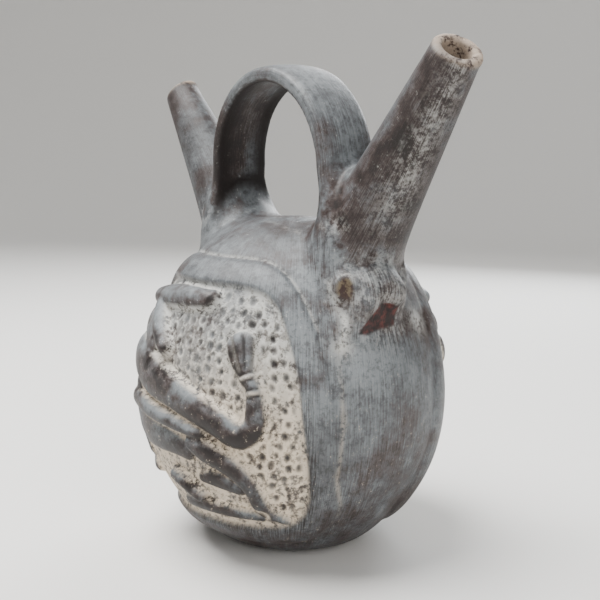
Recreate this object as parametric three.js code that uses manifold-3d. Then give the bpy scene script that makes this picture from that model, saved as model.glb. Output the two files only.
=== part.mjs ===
// A double-spout bottle of burnished black earthenware, hollow, with a strap handle between its spouts,
// a small head lug at the foot of each spout and a moulded relief panel on its front and back.
// Millimetres. +Z is up, +X runs towards one spout and -X towards the other, and -Y faces the front panel.
// The origin is the centre of the flat base, on the surface that the bottle stands on.
import * as THREE from "three";
import { mergeVertices } from "three/addons/utils/BufferGeometryUtils.js";
import Module from "manifold-3d";

// Body: a slightly squeezed egg, cut flat below.
const BODY_HALF_LENGTH = 66; // along X
const BODY_HALF_DEPTH = 64.3; // along Y
const BODY_HALF_HEIGHT = 72.7;
const BODY_CENTRE_Z = 65.4;
const BASE_EDGE_ROUND = 2.6; // height over which the base runs out into the wall
const BODY_WALL = 5;
const FLOOR = 6.5;
const CAVITY_EDGE_ROUND = 2;
const EDGE_INSET = 1.7; // of the edge's height: how far in the flat base ends
const EDGE_TURN = [1.05, 0.3]; // of the edge's height: the point half way round the edge, out and up
const BODY_SIDES = 34;
const BODY_RINGS = 17;
const CAVITY_SIDES = 18;
const CAVITY_RINGS = 9;

// Spouts: tapered tubes that splay outwards and lean a little towards the front. The one towards -X came
// out shorter and slimmer.
const SPOUT_FOOT_X = 27.2; // where the spout's axis starts, inside the body
const SPOUT_FOOT_Y = 1.25;
const SPOUT_FOOT_Z = 110.8;
const SPOUT_LENGTH = 109;
const SPOUT_TILT = 36.75; // degrees from upright, in the XZ plane
const SPOUT_LEAN = 2; // degrees towards the front
const SPOUT_FOOT_RADIUS = 18.9;
const SPOUT_TIP_RADIUS = 8.9;
const SLIM_SPOUT_LENGTH = 106.5;
const SLIM_SPOUT_TILT = 38.4;
const SLIM_SPOUT_TIP_RADIUS = 7.9;
const SPOUT_WALL = 3.4;
const SPOUT_FLARE = 5; // extra radius where the clay is smeared onto the body
const SPOUT_FLARE_AT = 15; // along the axis
const SPOUT_FLARE_REACH = 9;
const SPOUT_STATIONS = [0, 15, 20, 27, 37, 52, 80]; // distances along the axis where the outside is shaped
const BORE_STATIONS = [24, 50, 80]; // and where the bore is
const LIP_ROUND = 1.6;
const LIP_TURNS = [0, 45, 90]; // degrees round the lip
const SPOUT_SIDES = 20;
const BORE_SIDES = 12;

// Strap handle: a flat band in a half circle, with two splayed legs that end in the spouts.
const STRAP_RADIUS = 37; // to the middle of the band
const STRAP_CENTRE_Z = 158;
const STRAP_WIDTH = 26;
const STRAP_THICKNESS = 6;
const STRAP_LEG = 30; // length of each leg below the half circle
const STRAP_SPLAY = 9; // degrees that a leg leans outwards
const STRAP_FOOT_GROWTH = 0.7; // how much thicker the band is where it is smeared onto a spout
const STRAP_FORWARD = 3; // the handle stands this far in front of the bottle's middle
const STRAP_LEAN = 4.2; // degrees towards the front
const STRAP_EDGE_POWER = 0.6; // below 1 the band's edges are fuller than an ellipse's
const STRAP_CROWN_POWER = 0.75; // and so are its faces
const STRAP_SIDES = 10;
const STRAP_STEPS = 24;

// Relief panel, in the bottle's front view: a rounded field, narrower at its top, inside a raised frame.
const PANEL_TOP_Z = 112;
const PANEL_BOTTOM_Z = 18.5;
const PANEL_TOP_ANGLE = 46; // degrees round the body from the middle of the front to the field's side
const PANEL_BOTTOM_ANGLE = 60;
const PANEL_BULGE = 12; // how far the sides bow out between top and bottom, in degrees
const PANEL_CORNER = 7; // exponent of the rounded outline: higher is squarer
const FRAME_WIDTH = 11;
const FRAME_LIFT = 1.6;
const FRAME_ROOT = 1.5;
const PANEL_SIDES = 34;
const FRAME_SIDES = 6;

// Relief figures: the lift of their backs above the body's surface.
const FIGURE_LIFT = 3.6;
const FIGURE_ROOT = 3.5; // how far they reach into the wall
const FIGURE_END_LIFT = 0.3; // of the lift, at a limb's very end
const TUFT_LIFT = 2.8;
const LOW_LIFT = 1.8; // of the figures in the background
const LIMB_SIDES = 7;
const LIMB_STEPS = 1.1; // rings for each stop of a limb
const LEAST_DEPTH = 0.02; // keeps a point near the outline of the front view on the body

// Head lug under each spout: a blunt head, pressed to a steep flat face below its muzzle, with two ears.
const HEAD_CENTRE = new THREE.Vector3(53.5, -3, 108.5);
const HEAD_HALF = new THREE.Vector3(12.5, 13, 14.5);
const HEAD_FACE_PLACE = new THREE.Vector3(60.5, -6, 103);
const HEAD_FACE_NORMAL = new THREE.Vector3(0.9, 0.12, -0.42);
const HEAD_SIDES = 12;
const HEAD_RINGS = 8;
const EARS = [
  [53, -15.5, 113.5, 5.2],
  [51, 12.5, 115, 5.2],
]; // each a place and a radius
const EAR_SIDES = 7;
const EAR_RINGS = 5;

const CLAY = new THREE.MeshStandardMaterial({ color: 0x3f3f40, roughness: 0.42, metalness: 0 });

const wasm = await Module();
wasm.setup();

// A copy of a geometry with each vertex moved by place(x, y, z), which returns a Vector3.
function bend(geometry, place) {
  const bent = geometry.clone();
  const position = bent.getAttribute("position");
  for (let i = 0; i < position.count; i++) {
    const moved = place(position.getX(i), position.getY(i), position.getZ(i));
    position.setXYZ(i, moved.x, moved.y, moved.z);
  }
  return bent;
}

// A closed geometry as a solid, turned the right way out if its bending turned it inside out.
function solid(geometry) {
  const bare = geometry.clone();
  bare.deleteAttribute("normal");
  bare.deleteAttribute("uv");
  const merged = mergeVertices(bare, 1e-4);
  const triVerts = new Uint32Array(merged.index.array);
  const vertProperties = new Float32Array(merged.getAttribute("position").array);
  const made = new wasm.Manifold(new wasm.Mesh({ numProp: 3, vertProperties, triVerts }));
  if (made.volume() > 0) return made;
  for (let i = 0; i < triVerts.length; i += 3) {
    [triVerts[i], triVerts[i + 1]] = [triVerts[i + 1], triVerts[i]];
  }
  return new wasm.Manifold(new wasm.Mesh({ numProp: 3, vertProperties, triVerts }));
}

// The same solid turned half round the bottle's upright axis.
function halfTurn(shape) {
  return shape.rotate([0, 0, 180]);
}

const radians = THREE.MathUtils.degToRad;

// Radius of the egg along X at a height, with its surface moved in by a wall.
function eggRadius(z, wall) {
  const rise = (z - BODY_CENTRE_Z) / (BODY_HALF_HEIGHT - wall);
  return (BODY_HALF_LENGTH - wall) * Math.sqrt(Math.max(0, 1 - rise * rise));
}

// The egg, moved in by a wall and cut flat at floorZ, where its edge is rounded over edgeRound.
function egg(wall, floorZ, edgeRound, sides, rings) {
  const halfHeight = BODY_HALF_HEIGHT - wall;
  const halfLength = BODY_HALF_LENGTH - wall;
  const startZ = floorZ + edgeRound;
  const start = Math.asin((startZ - BODY_CENTRE_Z) / halfHeight);
  const flatRadius = eggRadius(startZ, wall) - EDGE_INSET * edgeRound;
  const profile = [new THREE.Vector2(0, floorZ), new THREE.Vector2(flatRadius, floorZ)];
  profile.push(new THREE.Vector2(flatRadius + EDGE_TURN[0] * edgeRound, floorZ + EDGE_TURN[1] * edgeRound));
  for (let i = 0; i < rings; i++) {
    const angle = start + ((Math.PI / 2 - start) * i) / rings;
    profile.push(new THREE.Vector2(halfLength * Math.cos(angle), BODY_CENTRE_Z + halfHeight * Math.sin(angle)));
  }
  profile.push(new THREE.Vector2(0, BODY_CENTRE_Z + halfHeight));
  const squeeze = (BODY_HALF_DEPTH - wall) / halfLength;
  const lathe = new THREE.LatheGeometry(profile, sides);
  return solid(bend(lathe, (x, y, z) => new THREE.Vector3(x, -z * squeeze, y)));
}

// A spout's measures: which side it is on, its length, its tip's radius, and its unit frame as if it stood
// towards +X, which is its axis and two directions across it.
function spoutMeasures(side, length, tiltDegrees, tipRadius) {
  const tilt = radians(tiltDegrees);
  const axis = new THREE.Vector3(Math.sin(tilt), -Math.tan(radians(SPOUT_LEAN)), Math.cos(tilt)).normalize();
  const across = new THREE.Vector3().crossVectors(new THREE.Vector3(0, 1, 0), axis).normalize();
  const back = new THREE.Vector3().crossVectors(axis, across);
  return { side, length, tipRadius, axis, across, back };
}

function spoutRadius(spout, along) {
  const taper = THREE.MathUtils.lerp(SPOUT_FOOT_RADIUS, spout.tipRadius, along / spout.length);
  return taper + SPOUT_FLARE * Math.exp(-Math.max(0, along - SPOUT_FLARE_AT) / SPOUT_FLARE_REACH);
}

// A lathe profile, radius against distance along a spout's axis, turned about that axis.
function alongSpout(spout, profile, sides) {
  const lathe = new THREE.LatheGeometry(profile, sides);
  const placed = bend(lathe, (x, y, z) => {
    const point = new THREE.Vector3(SPOUT_FOOT_X, SPOUT_FOOT_Y, SPOUT_FOOT_Z).addScaledVector(spout.axis, y);
    point.addScaledVector(spout.across, x).addScaledVector(spout.back, z);
    point.x *= spout.side;
    return point;
  });
  return solid(placed);
}

function spoutTube(spout) {
  const profile = [new THREE.Vector2(0, 0)];
  for (const along of SPOUT_STATIONS) {
    profile.push(new THREE.Vector2(spoutRadius(spout, along), along));
  }
  for (const turn of LIP_TURNS) {
    const out = spout.tipRadius - LIP_ROUND + LIP_ROUND * Math.cos(radians(turn));
    profile.push(new THREE.Vector2(out, spout.length - LIP_ROUND + LIP_ROUND * Math.sin(radians(turn))));
  }
  profile.push(new THREE.Vector2(0, spout.length));
  return alongSpout(spout, profile, SPOUT_SIDES);
}

function spoutBore(spout) {
  const foot = spoutRadius(spout, BORE_STATIONS[0]) - SPOUT_WALL;
  const profile = [new THREE.Vector2(0, 0), new THREE.Vector2(foot, 0)];
  for (const along of [...BORE_STATIONS, spout.length - 2 * LIP_ROUND]) {
    profile.push(new THREE.Vector2(spoutRadius(spout, along) - SPOUT_WALL, along));
  }
  const mouth = spout.tipRadius - SPOUT_WALL;
  const over = LIP_ROUND / 2; // the cutter ends clear of the lip
  profile.push(new THREE.Vector2(mouth + LIP_ROUND / 2, spout.length - LIP_ROUND / 2));
  profile.push(new THREE.Vector2(mouth + LIP_ROUND, spout.length + over));
  profile.push(new THREE.Vector2(0, spout.length + over));
  return alongSpout(spout, profile, BORE_SIDES);
}

// The strap's middle line at a signed length from its crown, with the outward normal of the arch there.
function strapLine(length) {
  const side = Math.sign(length) || 1;
  const quarter = (STRAP_RADIUS * Math.PI) / 2;
  const onArc = Math.min(Math.abs(length), quarter);
  const angle = onArc / STRAP_RADIUS;
  const normal = new THREE.Vector2(Math.sin(angle), Math.cos(angle));
  const point = new THREE.Vector2(0, STRAP_CENTRE_Z).addScaledVector(normal, STRAP_RADIUS);
  const down = Math.abs(length) - onArc;
  if (down > 0) {
    const splay = radians(STRAP_SPLAY);
    point.x += down * Math.sin(splay);
    point.y -= down * Math.cos(splay);
    normal.set(Math.cos(splay), Math.sin(splay));
  }
  point.x *= side;
  normal.x *= side;
  return { point, normal, down };
}

function strap() {
  const halfLength = (STRAP_RADIUS * Math.PI) / 2 + STRAP_LEG;
  const lean = Math.tan(radians(STRAP_LEAN));
  const rod = new THREE.CylinderGeometry(1, 1, 2, STRAP_SIDES, STRAP_STEPS);
  const signedPower = (value, power) => Math.sign(value) * Math.abs(value) ** power;
  const bent = bend(rod, (x, y, z) => {
    const { point, normal, down } = strapLine(y * halfLength);
    const growth = 1 + STRAP_FOOT_GROWTH * Math.min(1, down / STRAP_LEG) ** 2;
    const across = signedPower(z, STRAP_EDGE_POWER) * (STRAP_WIDTH / 2) * (1 + (growth - 1) / 4);
    const lift = signedPower(x, STRAP_CROWN_POWER) * (STRAP_THICKNESS / 2) * growth;
    const height = point.y + normal.y * lift;
    const forward = STRAP_FORWARD + (height - BODY_CENTRE_Z - BODY_HALF_HEIGHT) * lean;
    return new THREE.Vector3(point.x + normal.x * lift, across - forward, height + across * lean);
  });
  return solid(bent);
}

// A point of the front, from its place (x, z) in the front view, lifted off the body's surface.
function onFront(x, z, lift) {
  const across = x / BODY_HALF_LENGTH;
  const rise = (z - BODY_CENTRE_Z) / BODY_HALF_HEIGHT;
  const deep = Math.sqrt(Math.max(LEAST_DEPTH, 1 - across * across - rise * rise));
  const normal = new THREE.Vector3(across / BODY_HALF_LENGTH, -deep / BODY_HALF_DEPTH, rise / BODY_HALF_HEIGHT);
  return new THREE.Vector3(x, -BODY_HALF_DEPTH * deep, z).addScaledVector(normal.normalize(), lift);
}

// A point of the panel: angle runs round its outline, reach is 0 at its middle and 1 at its edge.
function onPanel(angle, reach, lift) {
  const c = Math.cos(angle);
  const s = Math.sin(angle);
  const square = (Math.abs(c) ** PANEL_CORNER + Math.abs(s) ** PANEL_CORNER) ** (-1 / PANEL_CORNER);
  const u = c * square * reach;
  const v = s * square * reach;
  const middle = (PANEL_TOP_Z + PANEL_BOTTOM_Z) / 2;
  const z = middle + (v * (PANEL_TOP_Z - PANEL_BOTTOM_Z)) / 2;
  const down = (1 - v) / 2;
  const spread = PANEL_BOTTOM_ANGLE - PANEL_TOP_ANGLE;
  const side = PANEL_TOP_ANGLE + spread * down + PANEL_BULGE * down * (1 - down);
  return onFront(eggRadius(z, 0) * Math.sin(radians(u * side)), z, lift);
}

function panelFrame() {
  const reachPerMm = 2 / (PANEL_TOP_Z - PANEL_BOTTOM_Z);
  const middleReach = 1 + (FRAME_WIDTH / 2 - 1) * reachPerMm;
  const ring = new THREE.TorusGeometry(2, 1, FRAME_SIDES, PANEL_SIDES);
  const bent = bend(ring, (x, y, z) => {
    const out = Math.hypot(x, y) - 2;
    const reach = middleReach + out * (FRAME_WIDTH / 2) * reachPerMm;
    const lift = z > 0 ? z * FRAME_LIFT : z * FRAME_ROOT;
    return onPanel(Math.atan2(y, x), reach, lift);
  });
  return solid(bent);
}

// A rounded limb of a figure: stops are [x, z, half-width] in the front view, and it lies along a smooth
// line through them.
function limb(stops, lift = FIGURE_LIFT) {
  const places = stops.map(([x, z]) => new THREE.Vector3(x, 0, z));
  const line = new THREE.CatmullRomCurve3(places, false, "centripetal");
  const length = line.getLength();
  const halfWidth = (t) => {
    const place = Math.min(t * (stops.length - 1), stops.length - 1.001);
    const index = Math.floor(place);
    return THREE.MathUtils.lerp(stops[index][2], stops[index + 1][2], place - index);
  };
  const ball = new THREE.SphereGeometry(1, LIMB_SIDES, Math.round(LIMB_STEPS * stops.length) + 3);
  const bent = bend(ball, (x, y, z) => {
    const t = Math.acos(Math.max(-1, Math.min(1, y))) / Math.PI;
    const point = line.getPoint(t);
    const tangent = line.getTangent(t);
    const width = halfWidth(t);
    const fromEnd = Math.min(t, 1 - t) * length;
    const round = fromEnd < width ? Math.sqrt(Math.max(0, 1 - (1 - fromEnd / width) ** 2)) : 1;
    const angle = Math.atan2(z, x);
    const across = Math.cos(angle) * width * round;
    const back = lift * THREE.MathUtils.lerp(FIGURE_END_LIFT, 1, round);
    const height = Math.sin(angle) * (Math.sin(angle) > 0 ? back : FIGURE_ROOT);
    return onFront(point.x - tangent.z * across, point.z + tangent.x * across, height);
  });
  return solid(bent);
}

// The creature on the panel: a long beast with its tail raised, whose tuft is bound by two cords, and a
// serpent-headed leg. Places are in the front view.
function creature() {
  const tail = [[-30, 80, 8.5], [-10, 75, 9.2], [7, 71.2, 7.4], [19, 67.3, 6.6], [30, 62.8, 6], [38, 58.8, 5.6],
    [42.6, 63, 3.8], [43, 69, 3.2], [41.8, 76, 2.5], [39.8, 80, 2.3]];
  const tuft = [[39.5, 79.5, 2.6], [37.5, 84, 3.4], [35.2, 89, 4.6], [34, 92.5, 4.8]];
  const leg = [[18.5, 53, 3.6], [24.5, 50.5, 5.2], [31, 47.6, 4.9], [36, 42.6, 4], [38, 36.5, 3], [38.4, 29, 3],
    [41.8, 24, 1.4]];
  const shin = [[4, 37, 2.8], [10, 34, 3], [16, 30.5, 2.8]];
  const haunch = [[-26, 62, 5], [-5, 60.5, 3.8], [8, 59.6, 3.6], [22, 57.6, 2.8]];
  const brow = [[-29, 103, 3.6], [-6, 106, 4.6], [15, 106.5, 3.8]];
  const neck = [[-16, 101, 4], [-9, 93.5, 5], [0, 86.5, 3.4]];
  const belly = [[-28, 50, 8], [-8, 50.5, 7], [6, 50.5, 6], [14, 49, 5]];
  const pad = [[20, 39, 2.4], [27, 39, 4.2], [33, 36.5, 3]];
  const sole = [[6, 25.5, 3], [22, 25, 3], [35, 24.5, 2]];
  const skull = [[-33, 93, 6.5], [-24, 92, 9], [-14, 86, 6.5]];
  const jaw = [[-37, 85, 3], [-30, 84.5, 4.8], [-20, 84, 6]];
  const foreleg = [[-26, 68, 6], [-31, 57, 5], [-34, 46, 4], [-31, 37, 3.4]];
  const forepaw = [[-36, 33, 2.8], [-30, 31.5, 4], [-22, 32, 3]];
  const high = [tail, leg, shin, haunch, brow, neck].map((part) => limb(part));
  const low = [belly, pad, sole, skull, jaw, foreleg, forepaw].map((part) => limb(part, LOW_LIFT));
  return wasm.Manifold.union([...high, ...low, limb(tuft, TUFT_LIFT)]);
}

// One head lug, at the foot of the spout towards +X.
function headLug() {
  const normal = HEAD_FACE_NORMAL.clone().normalize();
  const head = bend(new THREE.SphereGeometry(1, HEAD_SIDES, HEAD_RINGS), (x, y, z) => {
    const point = new THREE.Vector3(x, z, y).multiply(HEAD_HALF).add(HEAD_CENTRE);
    const above = point.clone().sub(HEAD_FACE_PLACE).dot(normal);
    return above > 0 ? point.addScaledVector(normal, -above) : point;
  });
  const ears = EARS.map(([x, y, z, radius]) => {
    return solid(new THREE.SphereGeometry(radius, EAR_SIDES, EAR_RINGS).translate(x, y, z));
  });
  return wasm.Manifold.union([solid(head), ...ears]);
}

// A solid as a three.js geometry.
function toGeometry(shape) {
  const mesh = shape.getMesh();
  const geometry = new THREE.BufferGeometry();
  geometry.setAttribute("position", new THREE.BufferAttribute(new Float32Array(mesh.vertProperties), 3));
  geometry.setIndex(new THREE.BufferAttribute(new Uint32Array(mesh.triVerts), 1));
  return geometry;
}

const frontRelief = wasm.Manifold.union([panelFrame(), creature()]);
const lug = headLug();
const spouts = [
  spoutMeasures(1, SPOUT_LENGTH, SPOUT_TILT, SPOUT_TIP_RADIUS),
  spoutMeasures(-1, SLIM_SPOUT_LENGTH, SLIM_SPOUT_TILT, SLIM_SPOUT_TIP_RADIUS),
];
const body = egg(0, 0, BASE_EDGE_ROUND, BODY_SIDES, BODY_RINGS);
const outside = wasm.Manifold.union([body, frontRelief, halfTurn(frontRelief), lug, halfTurn(lug), strap(),
  ...spouts.map(spoutTube)]);
const cavity = egg(BODY_WALL, FLOOR, CAVITY_EDGE_ROUND, CAVITY_SIDES, CAVITY_RINGS);
const inside = wasm.Manifold.union([cavity, ...spouts.map(spoutBore)]);

const bottle = new THREE.Mesh(toGeometry(outside.subtract(inside)), CLAY);
bottle.name = "bottle";

const part = new THREE.Group();
part.add(bottle);

export default part;
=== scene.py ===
"""The double-spout bottle, finished: one piece of burnished black clay with its relief, wear and soil."""
import math

import bmesh
import bpy
import numpy as np
from bpy.props import FloatProperty, FloatVectorProperty, IntProperty, PointerProperty
from bpy.types import Operator, Panel, PropertyGroup
from mathutils import Matrix, Vector


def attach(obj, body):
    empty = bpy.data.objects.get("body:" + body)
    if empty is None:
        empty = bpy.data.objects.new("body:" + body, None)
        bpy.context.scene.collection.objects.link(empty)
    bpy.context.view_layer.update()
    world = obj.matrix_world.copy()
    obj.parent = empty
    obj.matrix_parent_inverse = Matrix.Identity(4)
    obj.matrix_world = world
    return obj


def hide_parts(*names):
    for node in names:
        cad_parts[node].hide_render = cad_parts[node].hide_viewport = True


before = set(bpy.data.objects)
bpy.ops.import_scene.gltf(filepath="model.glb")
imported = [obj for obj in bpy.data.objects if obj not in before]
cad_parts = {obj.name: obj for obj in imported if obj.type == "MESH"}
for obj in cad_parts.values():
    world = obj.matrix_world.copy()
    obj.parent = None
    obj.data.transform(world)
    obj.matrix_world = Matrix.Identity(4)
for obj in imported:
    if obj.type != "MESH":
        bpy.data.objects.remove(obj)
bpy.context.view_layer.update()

bl_info = {
    "name": "Double-Spout Bottle",
    "version": (1, 0, 0),
    "blender": (4, 5, 0),
    "location": "3D View > Sidebar > Bottle",
    "description": "Makes a burnished blackware bottle with two spouts, a strap handle and relief panels",
    "category": "Add Mesh",
}

MM = 0.001

# Form of the clay, in millimetres, as in the solids. The spout and lug values are for the side towards +X.
BODY_HALF = np.array([66.0, 64.3, 72.7])
BODY_CENTRE = np.array([0.0, 0.0, 65.4])
BODY_TOP_Z = BODY_CENTRE[2] + BODY_HALF[2]
BODY_WALL = 5.0
FLOOR = 6.5
BASE_EDGE_ROUND = 5.0
FLOOR_EDGE_ROUND = 8.0

SPOUT_FOOT = np.array([27.2, 1.25, 110.8])
SPOUT_LENGTH = {1.0: 109.0, -1.0: 106.5}
SPOUT_TILT = {1.0: math.radians(36.75), -1.0: math.radians(38.4)}
SPOUT_LEAN = math.radians(2.0)
SPOUT_FOOT_RADIUS = 18.9
SPOUT_TIP_RADIUS = {1.0: 8.9, -1.0: 7.9}
SPOUT_WALL = 3.4
SPOUT_FLARE = 4.0
SPOUT_FLARE_AT = 15.0
SPOUT_FLARE_REACH = 9.0
BORE_FLARE_END = 24.0
MOUTH_NORMAL = np.array([0.64, -0.2, 0.742])
LIP_SPREAD = 0.6
LIP_SPREAD_REACH = 3.5
LIP_ROUND = 2.4
BORE_LIP_ROUND = 1.3

STRAP_RADIUS = 37.0
STRAP_CENTRE_Z = 158.0
STRAP_WIDTH = 26.0
STRAP_THICKNESS = 6.0
STRAP_LEG = 30.0
STRAP_SPLAY = math.radians(9.0)
STRAP_FOOT_GROWTH = 0.7
STRAP_FORWARD = 3.0
STRAP_LEAN = math.radians(4.2)
STRAP_CROWN = 1.3
STRAP_EDGE = 2.3

HEAD_CENTRE = np.array([53.5, -3.0, 108.5])
HEAD_HALF = np.array([12.5, 13.0, 14.5])
HEAD_FACE_PLACE = np.array([60.5, -6.0, 103.0])
HEAD_FACE_NORMAL = np.array([0.9, 0.12, -0.42])
HEAD_FACE_EDGE = 1.0
CHEEK_PLACES = ((np.array([55.0, -12.0, 98.5]), 6.2), (np.array([56.5, -8.5, 105.0]), 7.6))
MUZZLE_GROOVE = ((57.3, -6.3, 124.0), (61.2, -7.5, 118.7), (64.0, -7.3, 113.4), (62.8, -5.0, 108.8))
MUZZLE_GROOVE_OUT = (0.85, -0.5, 0.1)
MUZZLE_GROOVE_DEPTH = 1.3
MUZZLE_GROOVE_WIDTH = 2.2
FACET_CORNERS = ((58.8, -14.8, 96.8), (56.0, 3.3, 96.0), (61.6, 4.2, 108.3), (63.1, -6.8, 108.4))
MUZZLE_PLACE = np.array([60.0, 0.5, 111.5])
MUZZLE_RADIUS = 5.6
EAR_PLACES = (np.array([53.0, -15.5, 113.5]), np.array([51.0, 12.5, 115.0]))
EAR_RADIUS = 5.2
EAR_HOLLOW_RADIUS = 5.6
EAR_HOLLOW_DEPTH = 4.2
EAR_HOLLOW_OUT = np.array([0.6, 0.78, -0.1])
BEAD_PLACE = np.array([56.2, 12.8, 111.5])
BEAD_RADIUS = 3.3
BEAD_DOT_RADIUS = 0.9

# How softly the parts are smeared into each other.
SPOUT_BLEND = 7.0
STRAP_BLEND = 8.0
LUG_BLEND = 3.5
FACE_BLEND = 2.0
BORE_BLEND = 6.0
CHEEK_BLEND = 2.5
MUZZLE_BLEND = 1.6
BEAD_BLEND = 0.8

# Inside the clay, past the ends of the solids: how far a strap leg runs on, and the wide cone that the blank
# has round a spout's foot.
STRAP_ROOT = 12.0
STRAP_END_ROUND = 4.0
SKIRT_REACH = 45.0
SKIRT_FOOT_ROOM = 2.5
SKIRT_TOP_ROOM = 1.0

# Where the mesh is fine, and how deep a view through a mouth reaches. A point counts as on the body's wall
# within ON_WALL of it.
ON_WALL = 2.0
PANEL_FROM_Y = 8.0
FINE_PANEL = 1.26
FINE_LIP = 9.0
FINE_LUG = 21.0
FINE_LUG_FROM_X = 46.0
SEEN_DEPTH = 45.0

# Relief panel in the bottle's front view, in millimetres and degrees.
PANEL_TOP_Z = 112.0
PANEL_BOTTOM_Z = 18.5
PANEL_MIDDLE_Z = (PANEL_TOP_Z + PANEL_BOTTOM_Z) / 2
PANEL_HALF_HEIGHT = (PANEL_TOP_Z - PANEL_BOTTOM_Z) / 2
PANEL_TOP_ANGLE = 46.0
PANEL_BOTTOM_ANGLE = 60.0
PANEL_BULGE = 12.0
PANEL_CORNER = 7.0
FRAME_REACH = 0.2
PANEL_REACH = 1.34

# The creature: stops are (x, z, half-width) in the front view.
TAIL = ((-30, 80, 8.5), (-10, 75, 9.2), (7, 71.2, 7.4), (19, 67.3, 6.6), (30, 62.8, 6), (38, 58.8, 5.6),
        (42.6, 63, 3.8), (43, 69, 3.2), (41.8, 76, 2.5), (39.8, 80, 2.3))
TUFT = ((39.5, 79.5, 2.6), (37.5, 84, 3.4), (35.2, 89, 4.6), (34, 92.5, 4.8))
HIND_LEG = ((18.5, 53, 3.6), (24.5, 50.5, 5.2), (31, 47.6, 4.9), (36, 42.6, 4), (38, 36.5, 3), (38.4, 29, 3),
            (41.8, 24, 1.4))
SHIN = ((4, 37, 2.8), (10, 34, 3), (16, 30.5, 2.8))
HAUNCH = ((-26, 62, 5), (-5, 60.5, 3.8), (8, 59.6, 3.6), (22, 57.6, 2.8))
BROW = ((-29, 103, 3.6), (-6, 106, 4.6), (15, 106.5, 3.8))
NECK = ((-16, 101, 4), (-9, 93.5, 5), (0, 86.5, 3.4))
BELLY = ((-28, 50, 8), (-8, 50.5, 7), (6, 50.5, 6), (14, 49, 5))
PAD = ((20, 39, 2.4), (27, 39, 4.2), (33, 36.5, 3))
SOLE = ((6, 25.5, 3), (22, 25, 3), (35, 24.5, 2))
SKULL = ((-33, 93, 6.5), (-24, 92, 9), (-14, 86, 6.5))
JAW = ((-37, 85, 3), (-30, 84.5, 4.8), (-20, 84, 6))
FORELEG = ((-26, 68, 6), (-31, 57, 5), (-34, 46, 4), (-31, 37, 3.4))
FOREPAW = ((-36, 33, 2.8), (-30, 31.5, 4), (-22, 32, 3))
HIGH_LIMBS = (TAIL, HIND_LEG, SHIN, HAUNCH, BROW, NECK)
LOW_LIMBS = (BELLY, PAD, SOLE, SKULL, JAW, FORELEG, FOREPAW)
TUFT_PIVOT = (41.5, 73.0)
TUFT_GROOVES = (-0.06, 0.1, 0.26, 0.42)
CORDS = (((36.4, 79.4), (42.4, 82.6)), ((39.4, 74.7), (44.4, 76.3)))
SERPENT_EYE = (37.6, 28.2)
SERPENT_EYE_RADIUS = 1.7
SERPENT_BEAK = ((38.6, 26.2), (42.2, 23.9))
BEAST_EYE = (-26.0, 94.0)
BEAST_EYE_RADIUS = 3.0
BEAST_MOUTH = ((-37.0, 88.2), (-22.0, 86.6))

# The pits keep clear of the figures and of what lies below this line under the beast.
PLAIN_BELOW = ((-40.0, 62.0), (20.0, 56.0), (42.0, 22.0))
FIGURE_CLEARANCE = 1.5
PIT_RIM_LIFT = 0.24
PIT_MOST_TURN = 1.4

# The mould's seam beside a panel: its place, its step, and how far it bends in at the panel's corners.
SEAM_Y = 22.5
SEAM_STEP = 0.5
SEAM_FADE = 7.0
SEAM_BEND = 6.5

# Cream soil in the creases round a lug: a trail, and spots with their reach.
CREAM_TRAIL = ((48.0, -18.5, 114.5), (50.5, -19.5, 110.0), (53.5, -19.0, 105.2), (56.0, -18.2, 100.0),
               (57.2, -21.0, 92.0))
CREAM_SPOTS = ((54.6, 19.9, 98.8, 5.0), (57.0, -20.5, 92.0, 3.6))

# Where a broad pale sheen is painted on the burnish as a highlight, and where the clay is painted
# darker: x, y, z, reach and strength.
PAINTED_SHEEN_PLACES = ((61.0, -14.5, 86.0, 13.0, 1.0), (52.0, -31.5, 94.0, 12.0, 0.9),
               (40.0, -22.0, 118.0, 10.0, 0.8), (57.5, -32.0, 72.0, 9.0, 0.5))
DARKENED_PLACES = ((57.0, -31.5, 48.0, 15.0, 0.42), (82.0, 0.0, 168.0, 16.0, 0.3),
                (68.0, -1.0, 144.0, 15.0, 0.3), (-72.0, -8.0, 172.0, 20.0, 0.55),
                (-54.0, -10.0, 146.0, 20.0, 0.5), (8.0, -62.0, 50.0, 12.0, 0.3),
                (-90.0, -6.0, 192.0, 12.0, 0.35), (19.0, -22.0, 130.0, 15.0, 0.2),
                (30.0, -4.0, 182.0, 22.0, 0.14), (50.0, -18.0, 22.0, 16.0, 0.3),
                (58.0, 12.0, 36.0, 16.0, 0.22))

# Where the finish of the strap and of the spouts begins, and the level that keeps a spout's strokes apart
# from the body's.
STRAP_FROM_Z = 128.0
SPOUT_FROM = 22.0
SPOUT_GRAIN = 40.0

# The studio's lights: name, diameter and place in metres, and colour. Their powers are settings.
LIGHTS = (("key", 0.9, (-0.25, -0.35, 1.15), (1.0, 0.99, 0.97)),
          ("fill", 0.8, (0.95, -0.25, 0.5), (1.0, 0.98, 0.96)),
          ("rim", 0.7, (-0.5, 0.85, 0.6), (0.95, 0.98, 1.0)))
AIR_COLOUR = (0.82, 0.84, 0.87, 1.0)
AIR_STRENGTH = 0.42
PAPER_COLOUR = (0.72, 0.71, 0.69, 1.0)
SENSOR_WIDTH = 36.0
CORNER_STEPS = 8
SWEEP_STEPS = 64


def to_linear(red, green, blue):
    """A colour given as 0 to 255 screen values, as linear light."""
    return tuple((value / 255.0) ** 2.2 for value in (red, green, blue))


# The shape of the clay, worked out as distances

def smooth_max(first, second, reach):
    overlap = np.clip(reach - np.abs(first - second), 0.0, None) / reach
    return np.maximum(first, second) + overlap * overlap * reach / 4.0


def smooth_min(first, second, reach):
    return -smooth_max(-first, -second, reach)


def smooth_step(low, high, value):
    share = np.clip((value - low) / (high - low), 0.0, 1.0)
    return share * share * (3.0 - 2.0 * share)


def unit(vector):
    return vector / np.linalg.norm(vector)


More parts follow.
